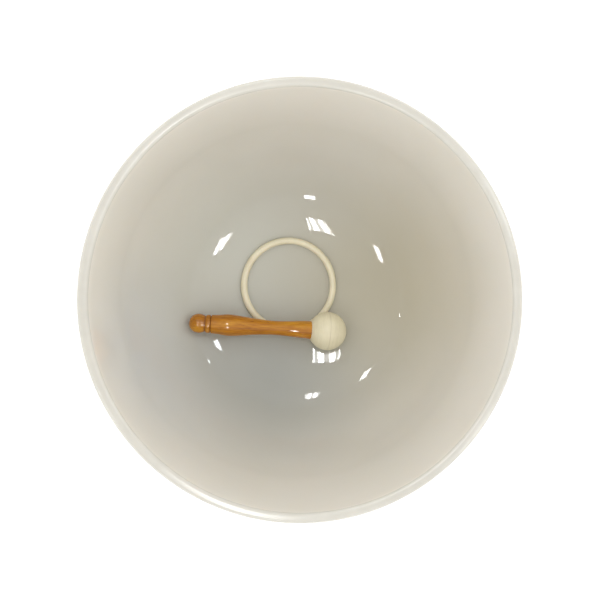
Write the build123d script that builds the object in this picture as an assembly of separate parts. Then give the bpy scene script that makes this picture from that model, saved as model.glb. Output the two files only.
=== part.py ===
from build123d import *
from math import acos, asin, atan2, cos, degrees, hypot, radians, sin, sqrt
import os

# A singing bowl of frosted quartz, stored the way its owner keeps it: the rubber
# ring that it stands on and its rubber-ball mallet lie inside the bowl.
#
# Frame: origin at the centre of the ground foot, +Z up along the bowl's axis,
# +X towards the side that the mallet's ball lies on. All sizes are in millimetres.

# ---------------------------------------------------------------- bowl
rim_diameter = 305.0        # outside, a nominal twelve-inch bowl
bowl_height = 175.0         # ground foot to ground rim
wall = 7.5                  # the same all over, as the glass is spun in a mould
crown_radius = 280.0        # inside radius of the shallow round bottom
crown_reach = 76.0          # how far out from the axis the round bottom goes
foot_diameter = 60.0        # flat that is ground on the outside of the bottom
foot_edge_radius = 8.0      # softened edge of that flat
rim_inner_round = 2.0       # polished edges of the flat rim
rim_outer_round = 3.0

# ---------------------------------------------------------------- ring
ring_inside_diameter = 85.0
ring_section = 6.5          # thickness of the rubber cord that the ring is made of
ring_offset = 15.6          # where it lies: distance from the bowl's axis
ring_bearing = 108.7        # and direction, in degrees from +X

# ---------------------------------------------------------------- mallet
ball_diameter = 38.1        # a nominal inch-and-a-half ball
mallet_length = 154.7       # far side of the ball to the tip of the knob
handle_end_diameter = 18.2
waist_diameter = 14.1
belly_diameter = 21.2
neck_diameter = 18.0
groove_diameter = 15.5
bead_diameter = 18.0
knob_diameter = 18.7
bead_length = 4.2
thin_groove_width = 0.9     # between the body and the bead
wide_groove_width = 1.4     # between the bead and the knob
knob_shoulder_length = 5.4  # from the wide groove to the knob's widest place
knob_shoulder_diameter = 15.9
end_round = 0.6
ball_bearing = -50.4        # direction from the ring's centre to the ball
mallet_bearing = 176.1      # direction from the ball to the knob

# ---------------------------------------------------------------- stud
stud_diameter = 6.0
stud_point_length = 4.0     # cone at each end
stud_in_handle = 24.0
stud_in_ball = 22.0
stud_clearance = 0.05       # on the radius, in both blind holes
hole_spare_depth = 1.0      # beyond the stud's point

rest_gap = 0.3              # left under and between pieces that only lie on each other

# ---------------------------------------------------------------- bowl's shape
outer_radius = rim_diameter / 2
inner_radius = outer_radius - wall
foot_radius = foot_diameter / 2

# The foot cuts a low cap off the outside crown, which sets the crown's centre.
crown_centre_z = sqrt((crown_radius + wall) ** 2 - foot_radius ** 2)

# The knuckle is the arc that meets both the crown and the upright wall smoothly.
crown_angle = asin(crown_reach / crown_radius)
knuckle_radius = (inner_radius - crown_reach) / (1 - sin(crown_angle))
knuckle_centre_x = inner_radius - knuckle_radius
knuckle_centre_z = crown_centre_z - (crown_radius - knuckle_radius) * cos(crown_angle)

# ---------------------------------------------------------------- mallet's lengths
# Stations are distances along the mallet's axis from the centre of the ball.
ball_radius = ball_diameter / 2
tip_station = mallet_length - ball_radius
knob_station = tip_station - knob_diameter / 2
wide_groove_station = knob_station - knob_shoulder_length - wide_groove_width
bead_station = wide_groove_station - bead_length
thin_groove_station = bead_station - thin_groove_width
seat_station = sqrt(ball_radius ** 2 - (handle_end_diameter / 2) ** 2)


def bowl_outline(offset, end_angle):
    """Crown, knuckle and wall, moved outwards by offset, from end_angle to the rim."""
    crown = crown_radius + offset
    knuckle = knuckle_radius + offset

    def on_crown(angle):
        return (crown * sin(angle), crown_centre_z - crown * cos(angle))

    def on_knuckle(angle):
        return (
            knuckle_centre_x + knuckle * sin(angle),
            knuckle_centre_z - knuckle * cos(angle),
        )

    middle_of_crown = (end_angle + crown_angle) / 2
    middle_of_knuckle = (crown_angle + radians(90)) / 2
    crown_arc = (on_crown(end_angle), on_crown(middle_of_crown), on_crown(crown_angle))
    knuckle_arc = (
        on_crown(crown_angle),
        on_knuckle(middle_of_knuckle),
        (inner_radius + offset, knuckle_centre_z),
    )
    return crown_arc, knuckle_arc


def make_bowl():
    """One spun shell of quartz, with a ground foot and a ground, rounded rim."""
    foot_angle = asin(foot_radius / (crown_radius + wall))
    inside_crown, inside_knuckle = bowl_outline(0, 0)
    outside_crown, outside_knuckle = bowl_outline(wall, foot_angle)
    with BuildPart() as bowl:
        with BuildSketch(Plane.XZ):
            with BuildLine():
                ThreePointArc(*inside_crown)
                ThreePointArc(*inside_knuckle)
                Polyline(
                    (inner_radius, knuckle_centre_z),
                    (inner_radius, bowl_height),
                    (outer_radius, bowl_height),
                    (outer_radius, knuckle_centre_z),
                )
                ThreePointArc(*outside_knuckle)
                ThreePointArc(*outside_crown)
                Polyline(outside_crown[0], (0, 0), inside_crown[0])
            make_face()
        revolve(axis=Axis.Z)
        rim_edges = bowl.edges().filter_by_position(
            Axis.Z, bowl_height, bowl_height
        ).sort_by(SortBy.RADIUS)
        fillet(rim_edges[-1], rim_outer_round)
        inner_edge = bowl.edges().filter_by_position(
            Axis.Z, bowl_height, bowl_height
        ).sort_by(SortBy.RADIUS)[0]
        fillet(inner_edge, rim_inner_round)
        fillet(bowl.edges().group_by(Axis.Z)[0], foot_edge_radius)
    return bowl.part


# ---------------------------------------------------------------- how things rest
def resting_height(reach, radius):
    """Height of the centre of a ball of this radius that rests inside the bowl,
    at this distance from the bowl's axis."""
    crown = crown_radius - radius - rest_gap
    if reach <= crown * sin(crown_angle):
        return crown_centre_z - sqrt(crown ** 2 - reach ** 2)
    knuckle = knuckle_radius - radius - rest_gap
    return knuckle_centre_z - sqrt(knuckle ** 2 - (reach - knuckle_centre_x) ** 2)


def crown_point(direction, distance):
    """A point at this distance from the crown's centre, along a unit direction."""
    return Vector(0, 0, crown_centre_z) + direction * distance


def turned(direction, bearing, angle):
    """Unit direction turned by angle (radians) towards a bearing (degrees)."""
    towards = Vector(cos(radians(bearing)), sin(radians(bearing)), 0)
    across = (towards - direction * towards.dot(direction)).normalized()
    return direction * cos(angle) + across * sin(angle)


def place_ring():
    """The ring lies flush on the crown. Returns its centre and its upward axis."""
    core_radius = (ring_inside_diameter + ring_section) / 2
    to_core = crown_radius - ring_section / 2 - rest_gap
    drop = sqrt(to_core ** 2 - core_radius ** 2)
    down = turned(Vector(0, 0, -1), ring_bearing, asin(ring_offset / drop))
    return crown_point(down, drop), down * -1


def place_mallet():
    """The ball rests on the crown against the ring, and the knob rests on the bowl's
    side. Returns the ball's centre and the axis from there towards the knob."""
    core_radius = (ring_inside_diameter + ring_section) / 2
    to_core = crown_radius - ring_section / 2 - rest_gap
    to_ball = crown_radius - ball_radius - rest_gap
    apart = ball_radius + ring_section / 2 + rest_gap
    spread = acos((to_core ** 2 + to_ball ** 2 - apart ** 2) / (2 * to_core * to_ball))
    _, ring_up = place_ring()
    to_ball_angle = asin(core_radius / to_core) + spread
    ball_centre = crown_point(turned(ring_up * -1, ball_bearing, to_ball_angle), to_ball)

    along = Vector(cos(radians(mallet_bearing)), sin(radians(mallet_bearing)), 0)

    def knob_centre(run):
        flat = ball_centre + along * run
        height = resting_height(hypot(flat.X, flat.Y), knob_diameter / 2)
        return Vector(flat.X, flat.Y, height)

    near, far = 0.0, knob_station
    for _ in range(50):
        run = (near + far) / 2
        if (knob_centre(run) - ball_centre).length < knob_station:
            near = run
        else:
            far = run
    return ball_centre, (knob_centre(near) - ball_centre).normalized()


def mallet_frame():
    """Local frame of the mallet: origin at the ball's centre, +Z towards the knob."""
    ball_centre, axis = place_mallet()
    return Plane(origin=ball_centre, x_dir=axis.cross(Vector(0, 0, 1)), z_dir=axis)


# ---------------------------------------------------------------- pieces
def make_ring():
    """Round rubber ring of round section."""
    core_radius = (ring_inside_diameter + ring_section) / 2
    centre, up = place_ring()
    return Plane(origin=centre, z_dir=up) * Torus(core_radius, ring_section / 2)


def stud_hole(start, depth):
    """Blind hole for the stud, from start along the axis, with a drill-point bottom."""
    radius = stud_diameter / 2 + stud_clearance
    direction = 1 if depth > 0 else -1
    straight = depth - direction * stud_point_length
    with BuildPart() as hole:
        with BuildSketch(Plane.XZ):
            with BuildLine():
                Polyline(
                    (0, start),
                    (radius, start),
                    (radius, start + straight),
                    (0, start + depth),
                    close=True,
                )
            make_face()
        revolve(axis=Axis.Z)
    return hole.part


def make_ball():
    """Solid rubber ball with a flat seat for the handle and a blind hole."""
    seat_depth = ball_radius - seat_station
    seat = Pos(0, 0, seat_station + seat_depth) * Cylinder(ball_radius, 2 * seat_depth)
    hole = stud_hole(seat_station, -(stud_in_ball + hole_spare_depth))
    return mallet_frame() * (Sphere(ball_radius) - seat - hole)


def make_handle():
    """Turned hardwood handle: flared end, waist, belly, bead and round knob."""
    body = thin_groove_station - seat_station

    def station(share):
        return seat_station + share * body

    waist = waist_diameter / 2
    belly = belly_diameter / 2
    neck = neck_diameter / 2
    groove = groove_diameter / 2
    bead = bead_diameter / 2
    knob = knob_diameter / 2
    with BuildPart() as handle:
        with BuildSketch(Plane.XZ):
            with BuildLine():
                Line((0, seat_station), (handle_end_diameter / 2, seat_station))
                Spline(
                    (handle_end_diameter / 2, seat_station),
                    (waist + 0.08 * waist, station(0.22)),
                    (waist, station(0.40)),
                    (waist + 0.33 * (belly - waist), station(0.585)),
                    (waist + 0.90 * (belly - waist), station(0.765)),
                    (belly, station(0.84)),
                    (neck + 0.35 * (belly - neck), station(0.925)),
                    (neck, thin_groove_station),
                )
                Polyline(
                    (neck, thin_groove_station),
                    (groove, thin_groove_station),
                    (groove, bead_station),
                    (bead - end_round, bead_station),
                )
                ThreePointArc(
                    (bead - end_round, bead_station),
                    (bead, bead_station + bead_length / 2),
                    (bead - end_round, wide_groove_station),
                )
                Polyline(
                    (bead - end_round, wide_groove_station),
                    (groove, wide_groove_station),
                    (groove, wide_groove_station + wide_groove_width),
                    (knob_shoulder_diameter / 2, wide_groove_station + wide_groove_width),
                )
                Spline(
                    (knob_shoulder_diameter / 2, wide_groove_station + wide_groove_width),
                    (knob, knob_station),
                    tangents=((0.5, 1), (0, 1)),
                )
                ThreePointArc(
                    (knob, knob_station),
                    (knob * sin(radians(45)), knob_station + knob * sin(radians(45))),
                    (0, tip_station),
                )
                Line((0, tip_station), (0, seat_station))
            make_face()
        revolve(axis=Axis.Z)
    hole = stud_hole(seat_station, stud_in_handle + hole_spare_depth)
    return mallet_frame() * (handle.part - hole)


def make_stud():
    """Double-ended steel stud that holds the ball on the handle, pointed at both ends."""
    radius = stud_diameter / 2
    low = seat_station - stud_in_ball
    high = seat_station + stud_in_handle
    with BuildPart() as stud:
        with BuildSketch(Plane.XZ):
            with BuildLine():
                Polyline(
                    (0, low),
                    (radius, low + stud_point_length),
                    (radius, high - stud_point_length),
                    (0, high),
                    close=True,
                )
            make_face()
        revolve(axis=Axis.Z)
    return mallet_frame() * stud.part


os.makedirs("parts", exist_ok=True)
pieces = {
    "bowl": make_bowl,
    "o_ring": make_ring,
    "mallet_ball": make_ball,
    "mallet_handle": make_handle,
    "mallet_stud": make_stud,
}
for name, make in pieces.items():
    solid = make()
    export_step(solid, f"parts/{name}.step")
    box = solid.bounding_box()
    print(f"{name}: {solid.volume / 1000:.1f} cm3, {box.min} to {box.max}")

ball_centre, mallet_axis = place_mallet()
ring_centre, ring_up = place_ring()
print(f"ball centre {ball_centre}, mallet axis {mallet_axis}, "
      f"rises {degrees(atan2(mallet_axis.Z, hypot(mallet_axis.X, mallet_axis.Y))):.1f} degrees")
print(f"ring centre {ring_centre}, axis {ring_up}, inside floor at "
      f"{crown_centre_z - crown_radius:.2f}")
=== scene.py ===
# %% [markdown]
# # A quartz singing bowl with its ring and its mallet
#
# The object is a bowl of frosted quartz, put away the way its owner keeps it: the rubber ring
# that it stands on and the rubber-ball mallet lie inside it. The design model already has every
# piece at its real size and place. This lesson rebuilds each piece on that frame with the
# finish that the real one has: polished milky glass inside, sand-like frosting outside,
# silicone rubber, natural rubber and varnished wood.

# %% Load the design model
import math

import bmesh
import bpy
from mathutils import Matrix, Vector


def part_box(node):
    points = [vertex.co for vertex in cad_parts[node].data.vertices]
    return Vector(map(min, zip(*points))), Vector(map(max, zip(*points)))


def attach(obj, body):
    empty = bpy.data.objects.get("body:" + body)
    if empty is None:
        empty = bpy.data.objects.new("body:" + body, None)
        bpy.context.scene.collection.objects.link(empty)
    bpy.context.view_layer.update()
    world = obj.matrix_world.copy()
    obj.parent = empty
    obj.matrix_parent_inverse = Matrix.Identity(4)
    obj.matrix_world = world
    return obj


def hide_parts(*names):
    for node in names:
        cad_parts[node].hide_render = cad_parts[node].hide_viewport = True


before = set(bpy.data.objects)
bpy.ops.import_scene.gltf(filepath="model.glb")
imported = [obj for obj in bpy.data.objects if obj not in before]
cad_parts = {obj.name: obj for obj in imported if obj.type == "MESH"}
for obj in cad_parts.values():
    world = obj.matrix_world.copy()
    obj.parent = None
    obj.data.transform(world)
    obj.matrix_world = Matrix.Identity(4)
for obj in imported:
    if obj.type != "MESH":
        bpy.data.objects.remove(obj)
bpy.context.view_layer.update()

MM = 0.001

# %% [markdown]
# ## Where things are
#
# Nothing is placed by eye. The bowl's height and width are read from its design node, the ring's
# centre is the middle of its box, and the mallet's line runs from the ball's centre to the point
# of the handle that lies furthest from it, which is the tip of the knob.

# %% Read the places from the design nodes
bowl_low, bowl_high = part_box("bowl")
rim_height = bowl_high.z
outer_radius = (bowl_high.x - bowl_low.x) / 2

ring_low, ring_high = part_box("o_ring")
ring_centre = (ring_low + ring_high) / 2

ball_radius = 19.05 * MM
ball_low, ball_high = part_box("mallet_ball")
ball_centre = Vector((
    ball_high.x - ball_radius,
    (ball_low.y + ball_high.y) / 2,
    (ball_low.z + ball_high.z) / 2,
))
handle_points = [v.co.copy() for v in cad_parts["mallet_handle"].data.vertices]
knob_tip = max(handle_points, key=lambda point: (point - ball_centre).length)
mallet_length = (knob_tip - ball_centre).length + ball_radius
print(f"rim {2 * outer_radius / MM:.1f} mm wide, {rim_height / MM:.1f} mm high")
print(f"mallet {mallet_length / MM:.1f} mm long, ball at {ball_centre / MM}")

# %% [markdown]
# The bowl's outline needs a few sizes that a box can't tell: the wall, the two radii inside
# and the ground foot. The round bottom, or crown, has a large radius. A smaller arc, the
# knuckle, carries it smoothly into the upright wall.

# %% Sizes of the bowl
wall = 7.5 * MM
crown_radius = 280 * MM
crown_reach = 76 * MM
foot_radius = 30 * MM
rim_inner_round = 2 * MM
rim_outer_round = 3 * MM

inner_radius = outer_radius - wall
crown_centre = Vector((0, 0, math.sqrt((crown_radius + wall) ** 2 - foot_radius ** 2)))
crown_angle = math.asin(crown_reach / crown_radius)
knuckle_radius = (inner_radius - crown_reach) / (1 - math.sin(crown_angle))
knuckle_centre = crown_centre + (crown_radius - knuckle_radius) * Vector(
    (math.sin(crown_angle), 0, -math.cos(crown_angle))
)
floor_height = crown_centre.z - crown_radius
print(f"knuckle radius {knuckle_radius / MM:.1f} mm, inside floor at {floor_height / MM:.2f} mm")

# %% [markdown]
# ## Hands: a few moves that every piece uses
#
# The pieces are all turned or spun things, so they are made like a potter or a wood turner
# would: draw half of the outline, then turn it about an axis. A drawing starts from a plane that
# is merged to a single point. The point is then spun into arcs and pushed along straights, and
# the whole line is spun once round.

# %% Start a drawing from one point
same_point = 0.001 * MM


def choose(piece):
    """Make this piece the only chosen and active one."""
    bpy.ops.object.select_all(action="DESELECT")
    piece.select_set(True)
    bpy.context.view_layer.objects.active = piece


def start_point(name, place):
    """A new mesh that is one chosen vertex, left in edit mode."""
    bpy.ops.object.select_all(action="DESELECT")
    bpy.ops.mesh.primitive_plane_add(size=MM, location=place)
    piece = bpy.context.object
    piece.name = name
    piece.data.name = name
    bpy.ops.object.transform_apply(location=True, rotation=True, scale=True)
    bpy.ops.object.mode_set(mode="EDIT")
    bpy.ops.mesh.select_mode(type="VERT")
    bpy.ops.mesh.select_all(action="SELECT")
    bpy.ops.mesh.merge(type="CENTER")
    return piece


print("points nearer than", same_point / MM, "mm will be merged")

# %% [markdown]
# A straight run is the last point extruded, and an arc is the last point spun by less than a
# whole turn. The closing spin takes the whole line once round. Where the line meets itself and
# where it touches the axis, the doubled points are merged, so no seam and no pole stays open.

# %% Push, swing and turn
def push(*move, pieces=1):
    """Carry the line on by a straight run, in equal pieces."""
    step = Vector(move) / pieces
    for _ in range(pieces):
        bpy.ops.mesh.extrude_region_move(TRANSFORM_OT_translate={"value": step})


def trace(points):
    """Carry the line on from the first of these points, where it stands, to the last."""
    for here, there in zip(points, points[1:]):
        push(*(there - here))


def swing(centre, angle, steps, axis=(0, 1, 0)):
    """Carry the line on by an arc about centre."""
    bpy.ops.mesh.spin(steps=steps, angle=angle, center=centre, axis=axis)


def turn_round(centre, axis, steps):
    """Spin the whole outline once round, and close it into one skin."""
    bpy.ops.mesh.select_all(action="SELECT")
    bpy.ops.mesh.spin(steps=steps, angle=2 * math.pi, center=centre, axis=axis)
    bpy.ops.mesh.select_all(action="SELECT")
    bpy.ops.mesh.remove_doubles(threshold=same_point)
    bpy.ops.mesh.normals_make_consistent(inside=False)
    bpy.ops.object.mode_set(mode="OBJECT")
    bpy.ops.object.shade_smooth()


def report(piece):
    """Print a piece's number of faces and the corners of its box, in millimetres."""
    corners = [v.co for v in piece.data.vertices]
    low = [min(c[i] for c in corners) / MM for i in range(3)]
    high = [max(c[i] for c in corners) / MM for i in range(3)]
    print(f"{piece.name}: {len(piece.data.polygons)} faces,",
          "from", [round(x, 2) for x in low], "to", [round(x, 2) for x in high])

# %% [markdown]
# ## The bowl
#
# A quartz bowl is made by spinning hot silica sand in a mould with an arc inside it. The inner
# skin melts smooth and glossy, the outer skin stays grainy, and the wall comes out even. Only
# the rim and the foot are cut and ground afterwards. Spinning a drawn outline is then the honest
# way to model it: crown, knuckle, upright wall, the two rounded edges of the rim, and the same
# way back down at the outer skin.

# %% Draw and spin the bowl
foot_angle = math.asin(foot_radius / (crown_radius + wall))
knuckle_angle = math.pi / 2 - crown_angle

bowl = start_point("bowl_shell", (0, 0, floor_height))
swing(crown_centre, crown_angle, steps=32)
swing(knuckle_centre, knuckle_angle, steps=52)
push(0, 0, rim_height - rim_inner_round - knuckle_centre.z, pieces=12)
rim_in = Vector((inner_radius + rim_inner_round, 0, rim_height - rim_inner_round))
swing(rim_in, -math.pi / 2, steps=8)
push(wall - rim_inner_round - rim_outer_round, 0, 0, pieces=2)
rim_out = Vector((outer_radius - rim_outer_round, 0, rim_height - rim_outer_round))
swing(rim_out, -math.pi / 2, steps=10)
push(0, 0, knuckle_centre.z - rim_height + rim_outer_round, pieces=12)
swing(knuckle_centre, -knuckle_angle, steps=52)
swing(crown_centre, foot_angle - crown_angle, steps=18)
push(-foot_radius, 0, 0, pieces=10)
turn_round((0, 0, 0), axis=(0, 0, 1), steps=192)
report(bowl)

# %% [markdown]
# ## Materials: small helpers
#
# Every finish here is a pattern worked out from the piece's own coordinates, so that it stays
# on the piece from all sides. These helpers start a material, add a node and do one step of
# arithmetic between nodes, so that each finish below is short enough to read.

# %% Start a material and join its nodes
def new_material(name):
    """An empty node material and its one surface shader, already joined to the output."""
    material = bpy.data.materials.new(name)
    material.use_nodes = True
    tree = material.node_tree
    tree.nodes.clear()
    output = tree.nodes.new("ShaderNodeOutputMaterial")
    shader = tree.nodes.new("ShaderNodeBsdfPrincipled")
    tree.links.new(shader.outputs["BSDF"], output.inputs["Surface"])
    return material, tree, shader


def add(tree, kind, **settings):
    """A node with its settings; names that aren't settings are its inputs."""
    node = tree.nodes.new("ShaderNode" + kind)
    for name, value in settings.items():
        if hasattr(node, name):
            setattr(node, name, value)
        else:
            node.inputs[name.replace("_", " ")].default_value = value
    return node


def sums(tree, operation, first, second=None):
    """One step of arithmetic. first and second are numbers or outputs of other nodes."""
    node = tree.nodes.new("ShaderNodeMath")
    node.operation = operation
    for socket, value in zip(node.inputs, (first, second)):
        if isinstance(value, (int, float)):
            socket.default_value = value
        elif value is not None:
            tree.links.new(value, socket)
    return node.outputs[0]


def tell(material):
    """Print how many nodes a finish took."""
    print(f"finish {material.name}: {len(material.node_tree.nodes)} nodes")

# %% [markdown]
# The patterns are noise, which is like clouds that fill space. A map range stretches the part
# of a pattern that is wanted, and a bump lets light see the pattern as a surface that isn't quite
# flat. That is enough for grain, pores and scratches, which are too fine to be worth geometry.

# %% Patterns
def own_place(tree):
    """The point's place in the object's own coordinates, in metres."""
    return add(tree, "TexCoord").outputs["Object"]


def noise(tree, where, scale=1.0, detail=2.0, roughness=0.5):
    """Cloudy noise read at where, with scale features to the metre."""
    node = add(tree, "TexNoise", Scale=scale, Detail=detail, Roughness=roughness)
    tree.links.new(where, node.inputs["Vector"])
    return node.outputs["Fac"]


def between(tree, amount, low, high, bottom=0.0, top=1.0):
    """Stretch a pattern so that bottom becomes low and top becomes high, and hold the ends."""
    node = tree.nodes.new("ShaderNodeMapRange")
    for name, value in zip(("From Min", "From Max", "To Min", "To Max"), (bottom, top, low, high)):
        node.inputs[name].default_value = value
    tree.links.new(amount, node.inputs["Value"])
    return node.outputs["Result"]


def relief(tree, height, depth, before=None):
    """Turn a pattern from 0 to 1 into a surface that stands depth metres proud."""
    node = add(tree, "Bump", Strength=1.0, Distance=depth)
    tree.links.new(height, node.inputs["Height"])
    if before is not None:
        tree.links.new(before, node.inputs["Normal"])
    return node.outputs["Normal"]

# %% [markdown]
# A colour comes from a ramp that a pattern runs along, or from two colours that a pattern mixes.
# Real materials are never one even colour, so almost every finish has at least two such layers.

# %% Colours
def tint(tree, amount, *colours):
    """Colours spread evenly over a pattern that runs from 0 to 1."""
    node = tree.nodes.new("ShaderNodeValToRGB")
    ramp = node.color_ramp
    while len(ramp.elements) < len(colours):
        ramp.elements.new(0.5)
    for i, colour in enumerate(colours):
        ramp.elements[i].position = i / (len(colours) - 1)
        ramp.elements[i].color = (*colour, 1)
    tree.links.new(amount, node.inputs["Fac"])
    return node.outputs["Color"]


def mixed(tree, amount, first, second, blend="MIX"):
    """first blended into second by amount."""
    node = tree.nodes.new("ShaderNodeMix")
    node.data_type = "RGBA"
    node.blend_type = blend
    for name, value in (("Factor_Float", amount), ("A_Color", first), ("B_Color", second)):
        socket = next(s for s in node.inputs if s.identifier == name)
        if isinstance(value, bpy.types.NodeSocket):
            tree.links.new(value, socket)
        elif isinstance(value, (int, float)):
            socket.default_value = value
        else:
            socket.default_value = (*value, 1)
    return next(s for s in node.outputs if s.identifier == "Result_Color")


def times(tree, first, second):
    """Two colours multiplied, as when one is a stain over the other."""
    return mixed(tree, 1.0, first, second, "MULTIPLY")

# %% [markdown]
# ## The bowl's finishes
#
# One piece of quartz carries four finishes: polished inside, softened on the rim, sandy outside
# and ground on the foot. All four share the glass. Light goes a few millimetres into milky quartz
# before it comes out again, which subsurface scattering gives. What spinning and grinding leave
# runs round the bowl, so a pattern may also be read along the outline and round the axis.

# %% Milky quartz, shared settings
def milky(shader, glow=0.35):
    """The glass itself: how it bends light, and how deep light goes into it."""
    shader.inputs["IOR"].default_value = 1.46
    shader.inputs["Subsurface Weight"].default_value = glow
    shader.inputs["Subsurface Radius"].default_value = (1.0, 0.92, 0.78)
    shader.inputs["Subsurface Scale"].default_value = 6 * MM


def along_and_round(tree):
    """How far a point is along the bowl's outline, and its direction round the axis."""
    parts = add(tree, "SeparateXYZ")
    tree.links.new(own_place(tree), parts.inputs[0])
    x, y, z = parts.outputs
    reach = sums(tree, "SQRT", sums(tree, "ADD", sums(tree, "MULTIPLY", x, x),
                                    sums(tree, "MULTIPLY", y, y)))
    along = sums(tree, "ADD", reach, z)
    never_zero = sums(tree, "ADD", reach, MM)
    turn = add(tree, "CombineXYZ")
    tree.links.new(sums(tree, "DIVIDE", x, never_zero), turn.inputs[0])
    tree.links.new(sums(tree, "DIVIDE", y, never_zero), turn.inputs[1])
    return along, turn.outputs[0]


def rings(tree, along, turn, each_way, per_metre, detail=3.0):
    """Noise drawn out into rings round the bowl: each_way sets how soon a ring fades."""
    joined = add(tree, "CombineXYZ")
    parts = add(tree, "SeparateXYZ")
    tree.links.new(turn, parts.inputs[0])
    tree.links.new(sums(tree, "MULTIPLY", parts.outputs[0], each_way), joined.inputs[0])
    tree.links.new(sums(tree, "MULTIPLY", parts.outputs[1], each_way), joined.inputs[1])
    tree.links.new(sums(tree, "MULTIPLY", along, per_metre), joined.inputs[2])
    return noise(tree, joined.outputs[0], detail=detail)

# %% [markdown]
# ### Polished quartz inside
#
# The arc in the mould melts the inner skin smooth, so it is clear gloss over milky glass, with
# faint waves that make a straight reflection look bent. The colour is painted greyer at the
# bottom, as painted shade where the wall shades it, and paler towards the rim, as painted light.
# A painted picture could show this from one side only, so the painted shade is a ramp along the
# outline, with a few wide, soft patches of painted room light and shade over it.

# %% Polished quartz inside
# Milky colour with painted shade, from the floor of the bowl up to the rim: greyer at the bottom,
# where the wall shades it, and paler towards the rim.
milk_and_painted_shade_floor_to_rim = (
    (0.590, 0.580, 0.515), (0.582, 0.570, 0.508), (0.590, 0.573, 0.508),
    (0.710, 0.688, 0.628), (0.825, 0.800, 0.748), (0.865, 0.836, 0.782),
)
# Each patch of painted room light and shade has its centre and its reach in millimetres, and what
# it multiplies the colour by.
painted_room_light_and_shade = (
    ((-75, 50, 25), 125, (1.10, 1.13, 1.16)),
    ((100, 15, 30), 150, (0.92, 0.88, 0.78)),
    ((-25, -80, 20), 125, (0.76, 0.80, 0.86)),
    ((-130, -50, 80), 120, (0.93, 0.97, 1.05)),
)
wave_depth = 0.010 * MM
ripple_depth = 0.006 * MM


def soft_patch(tree, place, centre, reach):
    """1 at a centre, falling softly to 0 at this reach from it, both in millimetres."""
    away = tree.nodes.new("ShaderNodeVectorMath")
    away.operation = "DISTANCE"
    tree.links.new(place, away.inputs[0])
    away.inputs[1].default_value = Vector(centre) * MM
    patch = between(tree, away.outputs["Value"], 1, 0, 0, reach * MM)
    patch.node.interpolation_type = "SMOOTHSTEP"
    return patch


def make_inside():
    """Gloss over milk, with painted shade and painted room light in its colour. Its roughness is 0
    except in a few faint rings.
    """
    material, tree, shader = new_material("quartz_inside")
    milky(shader)
    place = own_place(tree)
    along, turn = along_and_round(tree)
    climb = between(tree, along, 0, 1, floor_height, outer_radius + rim_height)
    cloud = between(tree, noise(tree, place, scale=14, detail=3), 0, 1, 0.3, 0.7)
    uneven = tint(tree, cloud, (0.97, 0.97, 0.96), (1.0, 1.0, 1.0))
    colour = times(tree, tint(tree, climb, *milk_and_painted_shade_floor_to_rim), uneven)
    # Painted room light and shade: soft patches that make the colour paler in some places and
    # darker in others.
    for centre, reach, shade in painted_room_light_and_shade:
        patch = soft_patch(tree, place, centre, reach)
        colour = mixed(tree, patch, colour, times(tree, colour, shade))
    tree.links.new(colour, shader.inputs["Base Color"])
    smear = rings(tree, along, turn, each_way=5, per_metre=260)
    tree.links.new(between(tree, smear, 0.0, 0.10, 0.66, 0.85), shader.inputs["Roughness"])
    swell = rings(tree, along, turn, each_way=3.5, per_metre=60, detail=1)
    waves = relief(tree, swell, wave_depth)
    ripple = relief(tree, noise(tree, place, scale=75, detail=0), ripple_depth, waves)
    tree.links.new(ripple, shader.inputs["Normal"])
    return material


inside_finish = make_inside()
tell(inside_finish)

# %% [markdown]
# ### Ground and softened rim
#
# The rim is sawn and ground level, and a flame then melts it a little, so it is satin and its
# rounded edges shine. It could share the inside's finish, but its softer shine and stronger glow
# are what makes the pale circle round the bowl.

# %% Ground and softened rim
def make_rim():
    """Satin glass with a stronger glow, and a very fine ground surface."""
    material, tree, shader = new_material("quartz_rim")
    milky(shader, glow=0.5)
    place = own_place(tree)
    cloud = noise(tree, place, scale=60, detail=4)
    colour = tint(tree, between(tree, cloud, 0, 1, 0.3, 0.7),
                  (0.60, 0.585, 0.535), (0.64, 0.625, 0.575))
    tree.links.new(colour, shader.inputs["Base Color"])
    tree.links.new(between(tree, cloud, 0.16, 0.3), shader.inputs["Roughness"])
    ground = relief(tree, noise(tree, place, scale=700, detail=3), 0.01 * MM)
    tree.links.new(ground, shader.inputs["Normal"])
    return material


rim_finish = make_rim()
tell(rim_finish)

# %% [markdown]
# ### Frosted quartz outside
#
# The outer skin never melts through. It keeps the grain of the sand that it was made from, so it
# is dull and a little lumpy. Grains of under a millimetre are far too many to model, so they are
# two layers of relief: low lumps, and sharp grains on top of them.

# %% Frosted quartz outside
lump_depth = 0.12 * MM
grain_depth = 0.10 * MM


def make_outside():
    """Sand grains on low lumps, with slightly greyer and paler areas."""
    material, tree, shader = new_material("quartz_frosted")
    milky(shader)
    place = own_place(tree)
    grain = noise(tree, place, scale=1500, detail=3, roughness=0.65)
    patches = noise(tree, place, scale=22, detail=4)
    base = tint(tree, between(tree, patches, 0, 1, 0.25, 0.75),
                (0.62, 0.61, 0.575), (0.70, 0.69, 0.655))
    sand = tint(tree, between(tree, grain, 0, 1, 0.3, 0.7), (0.90, 0.90, 0.89), (1, 1, 1))
    tree.links.new(times(tree, base, sand), shader.inputs["Base Color"])
    tree.links.new(between(tree, patches, 0.55, 0.75), shader.inputs["Roughness"])
    lumps = relief(tree, noise(tree, place, scale=160, detail=3), lump_depth)
    tree.links.new(relief(tree, grain, grain_depth, lumps), shader.inputs["Normal"])
    return material


outside_finish = make_outside()
tell(outside_finish)

# %% [markdown]
# ### Ground foot
#
# The bottom is pressed on a turning wheel until the bowl stands still, which leaves a flat disc
# with fine circular scratches. The ring pattern gives them when its rings are made very thin.

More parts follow.
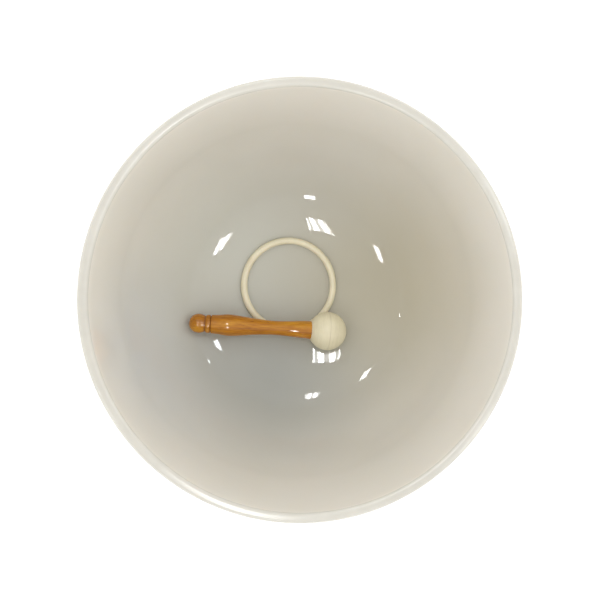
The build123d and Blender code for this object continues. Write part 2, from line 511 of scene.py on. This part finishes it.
# %% Ground foot
def make_foot():
    """Circular scratches in the colour, the shine and the surface."""
    material, tree, shader = new_material("quartz_ground")
    milky(shader)
    along, turn = along_and_round(tree)
    scratches = rings(tree, along, turn, each_way=2, per_metre=2600, detail=4)
    colour = tint(tree, scratches, (0.58, 0.57, 0.54), (0.68, 0.67, 0.635))
    tree.links.new(colour, shader.inputs["Base Color"])
    tree.links.new(between(tree, scratches, 0.35, 0.55), shader.inputs["Roughness"])
    tree.links.new(relief(tree, scratches, 0.02 * MM), shader.inputs["Normal"])
    return material


foot_finish = make_foot()
tell(foot_finish)

# %% [markdown]
# ### Which face gets which finish
#
# The finishes are put on by place. How deep a face lies in the wall tells inside from outside,
# its height tells the rim, and a face that looks straight down at the bottom is the foot.

# %% Put the finishes on
rim_depth = 0.002
outside_depth = 0.5
foot_height = 0.05 * MM
straight_down = -0.999


def choose_faces(piece, wanted):
    """Choose, in edit mode, the faces for which wanted(centre, normal) is true."""
    mesh = bmesh.from_edit_mesh(piece.data)
    for face in mesh.faces:
        face.select_set(bool(wanted(face.calc_center_median(), face.normal)))
    bmesh.update_edit_mesh(piece.data)


def paint(piece, material, wanted=None):
    """Give a piece a finish, all over or only on the wanted faces."""
    choose(piece)
    piece.data.materials.append(material)
    if wanted is not None:
        piece.active_material_index = len(piece.data.materials) - 1
        bpy.ops.object.mode_set(mode="EDIT")
        bpy.ops.mesh.select_mode(type="FACE")
        choose_faces(piece, wanted)
        bpy.ops.object.material_slot_assign()
        bpy.ops.object.mode_set(mode="OBJECT")


def depth_in_wall(point):
    """0 at the inner skin and 1 at the outer one."""
    reach = math.hypot(point.x, point.y)
    if point.z > knuckle_centre.z:
        return (reach - inner_radius) / wall
    flat = Vector((reach, 0, point.z))
    from_crown = flat - crown_centre
    if math.atan2(from_crown.x, -from_crown.z) < crown_angle:
        return (from_crown.length - crown_radius) / wall
    return ((flat - knuckle_centre).length - knuckle_radius) / wall


def on_rim(centre, normal):
    """The flat top and its two rounded edges."""
    return centre.z > rim_height - rim_inner_round and depth_in_wall(centre) > rim_depth


def on_outside(centre, normal):
    """The outer skin, below the rim."""
    return depth_in_wall(centre) > outside_depth and not on_rim(centre, normal)


def on_foot(centre, normal):
    """The flat disc that the bowl stands on."""
    return centre.z < foot_height and normal.z < straight_down


paint(bowl, inside_finish)
paint(bowl, outside_finish, on_outside)
paint(bowl, rim_finish, on_rim)
paint(bowl, foot_finish, on_foot)
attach(bowl, "bowl")
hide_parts("bowl")
for index, material in enumerate(bowl.data.materials):
    count = sum(1 for face in bowl.data.polygons if face.material_index == index)
    print(material.name, count, "faces")

# %% [markdown]
# ## The rubber ring
#
# The ring is a moulded O-ring. Its mould closes along the inside and outside of the ring, and
# leaves a hair-thin line there. It is made from a drawn circle, with the two points on that line
# pulled out a little, and turned once round the ring's axis. It lies flush on the crown, so its
# axis points from its centre to the centre of the crown.

# %% Turn the ring
ring_section = 6.5 * MM
ring_core_radius = 45.75 * MM
ring_line = 0.12 * MM
close_by = 0.01 * MM

ring_up = (crown_centre - ring_centre).normalized()
ring_out = Vector((1, 0, 0)) - ring_up * ring_up.x
ring_out.normalize()


def frame_of(x_axis, z_axis, origin):
    """A place and direction as a matrix, from its own X and Z axes."""
    y_axis = z_axis.cross(x_axis)
    turned = Matrix((x_axis, y_axis, z_axis)).transposed().to_4x4()
    return Matrix.Translation(origin) @ turned


section_middle = ring_centre + ring_out * ring_core_radius
section_frame = frame_of(ring_out, ring_up.cross(ring_out) * -1, section_middle)
bpy.ops.object.select_all(action="DESELECT")
bpy.ops.mesh.primitive_circle_add(
    vertices=64, radius=ring_section / 2,
    location=section_middle, rotation=section_frame.to_euler(),
)
ring = bpy.context.object
ring.name = "rubber_ring"
bpy.ops.object.transform_apply(location=True, rotation=True, scale=True)
for vertex in ring.data.vertices:
    offset = vertex.co - section_middle
    if abs(offset.dot(ring_up)) < close_by:
        vertex.co += offset.normalized() * ring_line
bpy.ops.object.mode_set(mode="EDIT")
turn_round(ring_centre, axis=ring_up, steps=240)
report(ring)
print("ring tilts", round(math.degrees(ring_up.angle(Vector((0, 0, 1)))), 1), "degrees")

# %% [markdown]
# ### Cream silicone
#
# Silicone rubber is cream, dull and a little see-through at its edges. Dust sticks to it, so
# it gets soft blotches and a scatter of small pale specks, which are only the highest peaks of a
# fine noise.

# %% Cream silicone
def rubbery(shader, glow):
    """Light that goes a little way into rubber and comes out warmer."""
    shader.inputs["Subsurface Weight"].default_value = glow
    shader.inputs["Subsurface Radius"].default_value = (1.0, 0.8, 0.5)
    shader.inputs["Subsurface Scale"].default_value = 2 * MM


def make_ring_rubber():
    """Blotches, specks of dust and a faintly uneven surface."""
    material, tree, shader = new_material("silicone_cream")
    rubbery(shader, glow=0.25)
    place = own_place(tree)
    blotch = noise(tree, place, scale=55, detail=3)
    base = tint(tree, between(tree, blotch, 0, 1, 0.3, 0.7),
                (0.80, 0.735, 0.54), (0.89, 0.825, 0.63))
    speck = between(tree, noise(tree, place, scale=1300, detail=1), 0, 0.25, 0.66, 0.74)
    colour = mixed(tree, speck, base, (0.93, 0.90, 0.80))
    tree.links.new(colour, shader.inputs["Base Color"])
    tree.links.new(between(tree, blotch, 0.42, 0.58), shader.inputs["Roughness"])
    skin = relief(tree, noise(tree, place, scale=500, detail=3), 0.02 * MM)
    tree.links.new(skin, shader.inputs["Normal"])
    return material


ring_finish = make_ring_rubber()
tell(ring_finish)
paint(ring, ring_finish)
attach(ring, "ring")
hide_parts("o_ring")

# %% [markdown]
# ## The mallet's line
#
# Ball, handle and stud are all turned about one line, from the ball's centre to the knob's tip.
# Stations are distances along that line from the ball's centre, as a turner marks a blank. The
# mallet has its own frame, with Z along the line, and its finishes use the same frame.

# %% The mallet's frame
mallet_line = (knob_tip - ball_centre).normalized()
mallet_side = mallet_line.cross(Vector((0, 0, 1))).normalized()
mallet_frame = frame_of(mallet_side, mallet_line, ball_centre)

tip_station = mallet_length - ball_radius
handle_end_radius = 9.1 * MM
waist_radius = 7.05 * MM
belly_radius = 10.6 * MM
neck_radius = 9.0 * MM
groove_radius = 7.75 * MM
bead_radius = 9.0 * MM
knob_radius = 9.35 * MM
bead_length = 4.2 * MM
thin_groove_width = 0.9 * MM
wide_groove_width = 1.4 * MM
knob_shoulder_length = 5.4 * MM
knob_shoulder_radius = 7.95 * MM
end_round = 0.6 * MM
stud_radius = 3 * MM
stud_clearance = 0.05 * MM
stud_in_handle = 24 * MM
stud_in_ball = 22 * MM
stud_point_length = 4 * MM
hole_radius = stud_radius + stud_clearance
hole_spare = 1 * MM

knob_station = tip_station - knob_radius
wide_groove_station = knob_station - knob_shoulder_length - wide_groove_width
bead_station = wide_groove_station - bead_length
thin_groove_station = bead_station - thin_groove_width
seat_station = math.sqrt(ball_radius ** 2 - handle_end_radius ** 2)
print("line rises", round(math.degrees(math.asin(mallet_line.z)), 1), "degrees to the knob")

# %% [markdown]
# ## The rubber ball
#
# The ball is pressed from natural rubber in two half moulds, so it has a fine line round its
# middle, square to the handle. It could be spun like the bowl, but it starts as a round
# primitive with its poles on the mallet's line, because one of its edge loops then lies exactly
# where the moulds met. A narrow bevel splits that loop, and its middle is pulled out.

# %% Raise the parting line
ball_line_width = 0.22 * MM
ball_line_height = 0.06 * MM


def along_line(point):
    """Station of a point: how far along the mallet's line it lies."""
    return (point - ball_centre).dot(mallet_line)


bpy.ops.object.select_all(action="DESELECT")
bpy.ops.mesh.primitive_uv_sphere_add(
    segments=128, ring_count=80, radius=ball_radius,
    location=ball_centre, rotation=mallet_frame.to_euler(),
)
ball = bpy.context.object
ball.name = "rubber_ball"
bpy.ops.object.transform_apply(location=True, rotation=True, scale=True)
bpy.ops.object.mode_set(mode="EDIT")
bpy.ops.mesh.select_mode(type="EDGE")
mesh = bmesh.from_edit_mesh(ball.data)
for edge in mesh.edges:
    edge.select_set(all(abs(along_line(v.co)) < close_by for v in edge.verts))
bmesh.update_edit_mesh(ball.data)
bpy.ops.mesh.bevel(offset=ball_line_width, segments=2, profile=0.5)
mesh = bmesh.from_edit_mesh(ball.data)
middle = [v for v in mesh.verts if abs(along_line(v.co)) < close_by]
for vertex in middle:
    outwards = (vertex.co - ball_centre).normalized()
    vertex.co = ball_centre + outwards * (ball_radius + ball_line_height)
bmesh.update_edit_mesh(ball.data)
print("parting line of", len(middle), "points")

# %% [markdown]
# The handle butts against a small flat on the ball, and the stud needs a hole there. A cut that
# fills itself makes the flat. An inset draws the hole's edge on it, and two extrusions sink the
# hole, the last one closed to a point as a drill leaves it.

# %% Cut the seat and drill the hole
bpy.ops.mesh.select_all(action="SELECT")
seat_place = ball_centre + mallet_line * seat_station
bpy.ops.mesh.bisect(plane_co=seat_place, plane_no=mallet_line, use_fill=True, clear_outer=True)
bpy.ops.mesh.select_mode(type="FACE")
choose_faces(ball, lambda centre, normal: normal.dot(mallet_line) > 0.999
             and along_line(centre) > seat_station - close_by)
bpy.ops.mesh.inset(thickness=handle_end_radius - hole_radius)
straight = stud_in_ball + hole_spare - stud_point_length
for run in (straight, stud_point_length):
    bpy.ops.mesh.extrude_region_move(TRANSFORM_OT_translate={"value": mallet_line * -run})
bpy.ops.mesh.merge(type="CENTER")
bpy.ops.mesh.select_all(action="SELECT")
bpy.ops.mesh.remove_doubles(threshold=same_point)
bpy.ops.mesh.normals_make_consistent(inside=False)
bpy.ops.object.mode_set(mode="OBJECT")
bpy.ops.object.shade_smooth_by_angle(angle=math.radians(30))
report(ball)

# %% [markdown]
# ### Pressed rubber
#
# Natural rubber is cream and quite dull. Pressing and trimming leave faint lines round the
# handle's axis, and handling leaves slightly darker clouds. A Mapping node turns a pattern into
# the mallet's own frame, and there the lines are noise that changes quickly along the mallet's
# line and slowly across it. A tint paints shade into the corner along the parting line, so the
# line looks darker.

# %% Pressed rubber
# The parting line's painted shade: how far it reaches and how strong it is.
parting_shade_reach = 0.6 * MM
parting_shade_strength = 0.35


def on_mallet(tree, place, across=1.0, along=1.0):
    """place in the mallet's frame, scaled across its line and along it."""
    inverse = mallet_frame.inverted()
    turn = add(tree, "Mapping", vector_type="POINT")
    turn.inputs["Location"].default_value = inverse.to_translation()
    turn.inputs["Rotation"].default_value = inverse.to_euler("XYZ")
    tree.links.new(place, turn.inputs["Vector"])
    scale = add(tree, "Mapping", vector_type="POINT")
    scale.inputs["Scale"].default_value = (across, across, along)
    tree.links.new(turn.outputs["Vector"], scale.inputs["Vector"])
    return scale.outputs["Vector"]


def near_station(tree, station, reach):
    """1 at a station of the mallet's line, falling to 0 at this reach from it."""
    parts = add(tree, "SeparateXYZ")
    tree.links.new(on_mallet(tree, own_place(tree)), parts.inputs[0])
    away = sums(tree, "ABSOLUTE", sums(tree, "SUBTRACT", parts.outputs[2], station))
    return between(tree, away, 1, 0, 0, reach)


def make_ball_rubber():
    """Clouds, turned lines, painted shade along the parting line, and fine pores."""
    material, tree, shader = new_material("rubber_cream")
    rubbery(shader, glow=0.15)
    place = own_place(tree)
    cloud = noise(tree, place, scale=70, detail=3)
    base = tint(tree, between(tree, cloud, 0, 1, 0.3, 0.7),
                (0.76, 0.695, 0.50), (0.85, 0.785, 0.585))
    lines = noise(tree, on_mallet(tree, place, across=60, along=1500), detail=3)
    streak = tint(tree, between(tree, lines, 0, 1, 0.35, 0.6), (0.93, 0.93, 0.91), (1, 1, 1))
    # Painted shade in the corner along the parting line.
    parting = sums(tree, "MULTIPLY", near_station(tree, 0, parting_shade_reach), parting_shade_strength)
    colour = mixed(tree, parting, times(tree, base, streak), (0.45, 0.38, 0.24))
    tree.links.new(colour, shader.inputs["Base Color"])
    tree.links.new(between(tree, cloud, 0.52, 0.66), shader.inputs["Roughness"])
    pores = relief(tree, noise(tree, place, scale=900, detail=3), 0.03 * MM)
    tree.links.new(relief(tree, lines, 0.03 * MM, pores), shader.inputs["Normal"])
    return material


ball_finish = make_ball_rubber()
tell(ball_finish)
paint(ball, ball_finish)
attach(ball, "mallet")
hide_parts("mallet_ball")

# %% [markdown]
# ## The turned handle
#
# A turner shapes the handle with a gouge as one flowing line: flared end, slim waist, full
# belly, neck. Then the bead and the round knob are cut in with a pointed tool, which leaves two
# crisp grooves. The outline is drawn in the plane through the mallet's line. The long flowing
# part follows a smooth curve through a few chosen stations, and the knob is a true arc.

# %% A flowing body
body_length = thin_groove_station - seat_station
body_marks = (
    (0.00, handle_end_radius),
    (0.12, waist_radius * 1.205),
    (0.22, waist_radius * 1.08),
    (0.40, waist_radius),
    (0.585, waist_radius + 0.33 * (belly_radius - waist_radius)),
    (0.765, waist_radius + 0.90 * (belly_radius - waist_radius)),
    (0.84, belly_radius),
    (0.925, neck_radius + 0.35 * (belly_radius - neck_radius)),
    (1.00, neck_radius),
)


def flowing(marks, share):
    """Radius at a share of the body, on a smooth curve through the marks."""
    spans = list(zip(marks, marks[1:]))
    slopes = [(b[1] - a[1]) / (b[0] - a[0]) for a, b in spans]
    tangents = [slopes[0]] + [(p + q) / 2 for p, q in zip(slopes, slopes[1:])] + [slopes[-1]]
    for i, (a, b) in enumerate(spans):
        if share <= b[0]:
            width = b[0] - a[0]
            t = (share - a[0]) / width
            return (
                (2 * t ** 3 - 3 * t ** 2 + 1) * a[1]
                + (t ** 3 - 2 * t ** 2 + t) * width * tangents[i]
                + (3 * t ** 2 - 2 * t ** 3) * b[1]
                + (t ** 3 - t ** 2) * width * tangents[i + 1]
            )
    return marks[-1][1]


def eased(start, end, steps):
    """Numbers from start to end, close together at both ends."""
    shares = [(1 - math.cos(math.pi * i / steps)) / 2 for i in range(steps + 1)]
    return [start + (end - start) * share for share in shares]


print(f"the body is {body_length / MM:.1f} mm long")

# %% [markdown]
# The outline starts at the bottom of the stud's hole, comes out along the hole, and goes round
# the flared end, along the body, through the first groove, over the bead, through the second
# groove and up the knob's shoulder. The knob itself is a quarter turn of the last point.

# %% Draw and turn the handle
groove_lip = 0.2 * MM


def on_blank(station, radius):
    """The point of the drawing plane at this station and radius."""
    return mallet_frame @ Vector((radius, 0, station))


def groove(station, width, edge):
    """A pointed cut: its two sides, this share of its width from the ends, and its bottom."""
    side = groove_radius + groove_lip
    return [(station + width * edge, side), (station + width * 0.5, groove_radius),
            (station + width * (1 - edge), side)]


hole_end = seat_station + hole_spare + stud_in_handle
shoulder_start = wide_groove_station + wide_groove_width
outline = [(hole_end, 0), (hole_end - stud_point_length, hole_radius)]
outline += [(seat_station, hole_radius), (seat_station, handle_end_radius - end_round / 2)]
for share in eased(end_round / 2 / body_length, 1, steps=80):
    outline.append((seat_station + share * body_length, flowing(body_marks, share)))
outline += groove(thin_groove_station, thin_groove_width, edge=0.25)
for station in eased(bead_station, wide_groove_station, steps=12):
    from_middle = 2 * (station - bead_station) / bead_length - 1
    outline.append((station, bead_radius - end_round * from_middle ** 2))
outline += groove(wide_groove_station, wide_groove_width, edge=0.2)
for share in eased(0, 1, steps=10):
    swell = math.sin(share * math.pi / 2)
    radius = knob_shoulder_radius + (knob_radius - knob_shoulder_radius) * swell
    outline.append((shoulder_start + share * knob_shoulder_length, radius))

blank = [on_blank(station, radius) for station, radius in outline]
square_to_plane = mallet_frame.to_3x3() @ Vector((0, 1, 0))
handle = start_point("turned_handle", blank[0])
trace(blank)
swing(on_blank(knob_station, 0), math.pi / 2, steps=20, axis=square_to_plane)
turn_round(ball_centre, axis=mallet_line, steps=96)
bpy.ops.object.shade_smooth_by_angle(angle=math.radians(40))
report(handle)
tip = max(along_line(v.co) for v in handle.data.vertices)
print("handle ends", round((tip - tip_station) / MM, 4), "mm from the knob's tip")

# %% [markdown]
# ### Varnished wood
#
# The wood is a pale hardwood under clear yellow varnish. Its figure runs along the handle, so
# every layer of noise is squeezed across the handle and drawn out along it: broad honey-coloured
# bands, fine grain lines and a few short dark flecks. The two cut grooves are painted nearly
# brown, as painted shade in them. A clear coat over the wood gives the sharp highlights.

# %% Varnished wood
# How strongly shade is painted into the two cut grooves.
groove_shade_strength = 0.75


def make_varnished_wood():
    """Bands, grain and flecks along the handle, painted shade in the grooves, and a clear coat
    over all.
    """
    material, tree, shader = new_material("varnished_wood")
    place = own_place(tree)
    bands = noise(tree, on_mallet(tree, place, across=120, along=14), detail=4, roughness=0.55)
    wood = tint(tree, between(tree, bands, 0, 1, 0.25, 0.75),
                (0.33, 0.11, 0.002), (0.55, 0.22, 0.008), (0.72, 0.36, 0.026))
    lines = noise(tree, on_mallet(tree, place, across=900, along=45), detail=3, roughness=0.6)
    grain = tint(tree, between(tree, lines, 0, 1, 0.32, 0.62), (0.72, 0.62, 0.50), (1, 1, 1))
    colour = times(tree, wood, grain)
    flecks = noise(tree, on_mallet(tree, place, across=520, along=130), detail=1)
    colour = mixed(tree, between(tree, flecks, 0, 0.7, 0.73, 0.77), colour, (0.16, 0.055, 0.012))
    # Painted shade in the two cut grooves, fading out a groove's width from each groove's middle.
    thin = near_station(tree, thin_groove_station + thin_groove_width / 2, thin_groove_width)
    wide = near_station(tree, wide_groove_station + wide_groove_width / 2, wide_groove_width)
    groove_shade = sums(tree, "MULTIPLY", sums(tree, "MAXIMUM", thin, wide), groove_shade_strength)
    colour = mixed(tree, groove_shade, colour, (0.17, 0.055, 0.010))
    tree.links.new(colour, shader.inputs["Base Color"])
    tree.links.new(between(tree, lines, 0.38, 0.55), shader.inputs["Roughness"])
    tree.links.new(relief(tree, lines, 0.02 * MM), shader.inputs["Normal"])
    shader.inputs["Specular IOR Level"].default_value = 0.05
    shader.inputs["Coat Weight"].default_value = 1.0
    shader.inputs["Coat Roughness"].default_value = 0.0
    shader.inputs["Coat IOR"].default_value = 1.42
    runs = noise(tree, on_mallet(tree, place, across=160, along=60), detail=2)
    tree.links.new(relief(tree, runs, 0.02 * MM), shader.inputs["Coat Normal"])
    return material


handle_finish = make_varnished_wood()
tell(handle_finish)
paint(handle, handle_finish)
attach(handle, "mallet")
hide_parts("mallet_handle")

# %% [markdown]
# ## The stud
#
# Ball and handle are held together by a short steel rod, threaded all along and pointed at both
# ends, half in each. It can't be seen, but it is a real piece and has its own place. A row of
# rings would look like a thread from afar, but a real one is a spiral, so one zigzag is drawn
# and a Screw modifier winds it up, a few turns too long at each end.

# %% Wind the thread
thread_pitch = 1.25 * MM
thread_depth = 0.45 * MM
spare_turns = 2
thread_start = seat_station - stud_in_ball + stud_point_length
thread_end = seat_station + stud_in_handle - stud_point_length

root = (stud_radius - thread_depth, 0, thread_start - spare_turns * thread_pitch)
stud = start_point("threaded_stud", root)
push(thread_depth, 0, thread_pitch / 2)
push(-thread_depth, 0, thread_pitch / 2)
bpy.ops.object.mode_set(mode="OBJECT")
bpy.ops.object.modifier_add(type="SCREW")
winding = stud.modifiers["Screw"]
winding.axis = "Z"
winding.angle = 2 * math.pi
winding.screw_offset = thread_pitch
winding.iterations = math.ceil((thread_end - thread_start) / thread_pitch) + 2 * spare_turns
winding.steps = 32
winding.render_steps = 32
winding.use_merge_vertices = True
winding.merge_threshold = same_point
bpy.ops.object.modifier_apply(modifier="Screw")
report(stud)

# %% [markdown]
# The thread is cut to length by a plane at each end, which also closes it. Each end face is then
# extruded and shrunk to a blunt point. The stud was wound upright, and its last step lays it on
# the mallet's line.

# %% Point the ends
point_share = 0.12

bpy.ops.object.mode_set(mode="EDIT")
for station, way in ((thread_start, -1), (thread_end, 1)):
    end = Vector((0, 0, station))
    outwards = Vector((0, 0, way))
    bpy.ops.mesh.select_all(action="SELECT")
    bpy.ops.mesh.bisect(plane_co=end, plane_no=outwards, use_fill=True, clear_outer=True)
    bpy.ops.mesh.select_mode(type="FACE")
    choose_faces(stud, lambda centre, normal: abs(centre.z - station) < close_by)
    step = outwards * stud_point_length
    bpy.ops.mesh.extrude_region_move(TRANSFORM_OT_translate={"value": step})
    bpy.ops.transform.resize(value=(point_share, point_share, 1), center_override=end)
bpy.ops.mesh.select_all(action="SELECT")
bpy.ops.mesh.remove_doubles(threshold=same_point)
bpy.ops.mesh.normals_make_consistent(inside=False)
bpy.ops.object.mode_set(mode="OBJECT")
stud.matrix_world = mallet_frame
bpy.ops.object.transform_apply(location=True, rotation=True, scale=True)
bpy.ops.object.shade_smooth_by_angle(angle=math.radians(30))
report(stud)

# %% [markdown]
# ### Zinc-plated steel
#
# The steel is zinc plated: a cool grey metal with slightly cloudy roughness and faint marks of
# the thread rolling along its length.

# %% Zinc-plated steel
def make_steel():
    """Cloudy zinc over steel, with rolling marks along the stud."""
    material, tree, shader = new_material("zinc_steel")
    shader.inputs["Metallic"].default_value = 1.0
    place = own_place(tree)
    cloud = noise(tree, place, scale=400, detail=3)
    colour = tint(tree, cloud, (0.50, 0.51, 0.53), (0.70, 0.71, 0.72))
    tree.links.new(colour, shader.inputs["Base Color"])
    tree.links.new(between(tree, cloud, 0.25, 0.42), shader.inputs["Roughness"])
    marks = noise(tree, on_mallet(tree, place, across=2500, along=200), detail=2)
    tree.links.new(relief(tree, marks, 0.01 * MM), shader.inputs["Normal"])
    return material


stud_finish = make_steel()
tell(stud_finish)
paint(stud, stud_finish)
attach(stud, "mallet")
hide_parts("mallet_stud")

# %% [markdown]
# ## The studio
#
# The floor is a big pale sheet. It glows faintly, like a light table, so that it stays white
# round the bowl.

# %% Floor
floor_size = 14
floor_gap = 0.05 * MM

bpy.ops.object.select_all(action="DESELECT")
bpy.ops.mesh.primitive_plane_add(size=floor_size, location=(0, 0, -floor_gap))
floor = bpy.context.object
floor.name = "floor"
floor_material, _, floor_shader = new_material("floor_white")
floor_shader.inputs["Base Color"].default_value = (0.94, 0.94, 0.93, 1)
floor_shader.inputs["Roughness"].default_value = 0.8
floor_shader.inputs["Emission Color"].default_value = (1, 1, 0.99, 1)
floor_shader.inputs["Emission Strength"].default_value = 0.15
paint(floor, floor_material)
print("floor", floor_size, "m wide")

# %% [markdown]
# ### World and soft lights
#
# The light comes from all round, from a plain pale world, because the inside of a deep bowl
# would be dark under a single lamp. Two very large soft lights shift it a little, cooler from
# the left and warmer from the right, and glossy surfaces don't see them.

# %% World and soft lights
world = bpy.data.worlds.new("pale_world")
bpy.context.scene.world = world
world.use_nodes = True
sky = world.node_tree.nodes["Background"]
sky.inputs["Color"].default_value = (1.0, 0.99, 0.97, 1)
sky.inputs["Strength"].default_value = 1.15


def soft_light(name, place, size, radiance, colour):
    """A rectangular light that faces down, with this radiance all over it."""
    data = bpy.data.lights.new(name, "AREA")
    data.shape = "RECTANGLE"
    data.size, data.size_y = size
    data.color = colour
    data.energy = radiance * math.pi * size[0] * size[1]
    lamp = bpy.data.objects.new(name, data)
    bpy.context.collection.objects.link(lamp)
    lamp.location = place
    return lamp


for name, place, radiance, colour in (
    ("cool_side", Vector((-1.6, -0.8, 1.9)), 0.30, (0.86, 0.94, 1.0)),
    ("warm_side", Vector((1.5, 1.2, 1.9)), 0.35, (1.0, 0.93, 0.80)),
):
    lamp = soft_light(name, place, (1.6, 1.6), radiance, colour)
    lamp.rotation_euler = (-place).to_track_quat("-Z", "Y").to_euler()
    lamp.visible_glossy = False
print("world strength", sky.inputs["Strength"].default_value)

# %% [markdown]
# ### Ceiling panels
#
# Fluorescent ceiling panels, some near and some far, give the small bright reflections that show
# how glossy the quartz and the varnish are. They could light the bowl too, but then every panel
# would cast its own shadow, so they are seen only by what is glossy. A near panel shows its
# tubes and the bright edges of its cover. A far one is an even patch.

# %% Ceiling panels
ceiling = 2.0
tube_drop = 2 * MM
cover_radiance = 8
tube_radiance = 45
even_radiance = 24


def ceiling_panel(name, x, y, colour=(1, 1, 1), width=0.29, length=0.40, tubes=True):
    """A fluorescent panel: a dim cover, and bright tubes along Y in front of it."""
    strips = [(0, 1, cover_radiance if tubes else even_radiance)]
    if tubes:
        strips += [(-0.21, 0.21, tube_radiance), (0.21, 0.21, tube_radiance)]
        strips += [(-0.47, 0.06, even_radiance), (0.47, 0.06, even_radiance)]
    for i, (shift, share, radiance) in enumerate(strips):
        place = Vector((x + shift * width, y, ceiling - tube_drop * (i > 0)))
        lamp = soft_light(f"{name}_{i}", place, (share * width, length), radiance, colour)
        lamp.visible_diffuse = False


cool = (0.88, 0.96, 1.0)
ceiling_panel("near_front", -0.17, -0.925, length=0.47)
ceiling_panel("near_back", -0.20, 0.42, width=0.27)
ceiling_panel("far_back", -0.21, 2.09)
ceiling_panel("far_front", -0.19, -2.73, length=0.46, tubes=False)
ceiling_panel("right_front", 1.47, -1.01, width=0.43)
ceiling_panel("right_back", 1.43, 0.62, cool)
ceiling_panel("left_front", -1.63, -0.98, width=0.27)
ceiling_panel("left_back", -1.65, 1.95, tubes=False)
ceiling_panel("end_front", 3.4, -1.08, width=0.35, length=0.35, tubes=False)
ceiling_panel("end_back", 2.62, 1.72, cool, width=0.15, length=0.15, tubes=False)
ceiling_panel("end_left", -2.88, 0.46, width=0.12, length=0.12, tubes=False)
print(len(bpy.data.lights), "lights")

# %% [markdown]
# ## The camera
#
# The camera looks down from arm's length, about as high above the rim as the bowl is wide, and
# a thumb's width to the left of its axis. So near, the wall on the right shows more of itself
# than the wall on the left, which a camera further away would lose. It is turned by two small
# angles worked out from the point that it looks at.

# %% Camera
camera_shift = -28 * MM
camera_rise = 308.6 * MM
aim = Vector((-5.36, -0.08, 0)) * MM

camera_data = bpy.data.cameras.new("camera")
camera_data.sensor_width = 36
camera_data.lens = 27.42
camera = bpy.data.objects.new("camera", camera_data)
bpy.context.collection.objects.link(camera)
camera.location = (camera_shift, 0, rim_height + camera_rise)
camera.rotation_euler = (
    math.atan(aim.y / camera_rise),
    -math.atan((aim.x - camera_shift) / camera_rise),
    0,
)
bpy.context.scene.camera = camera
bpy.context.scene.view_settings.view_transform = "Standard"
print("camera", round(camera_rise / MM), "mm above the rim")
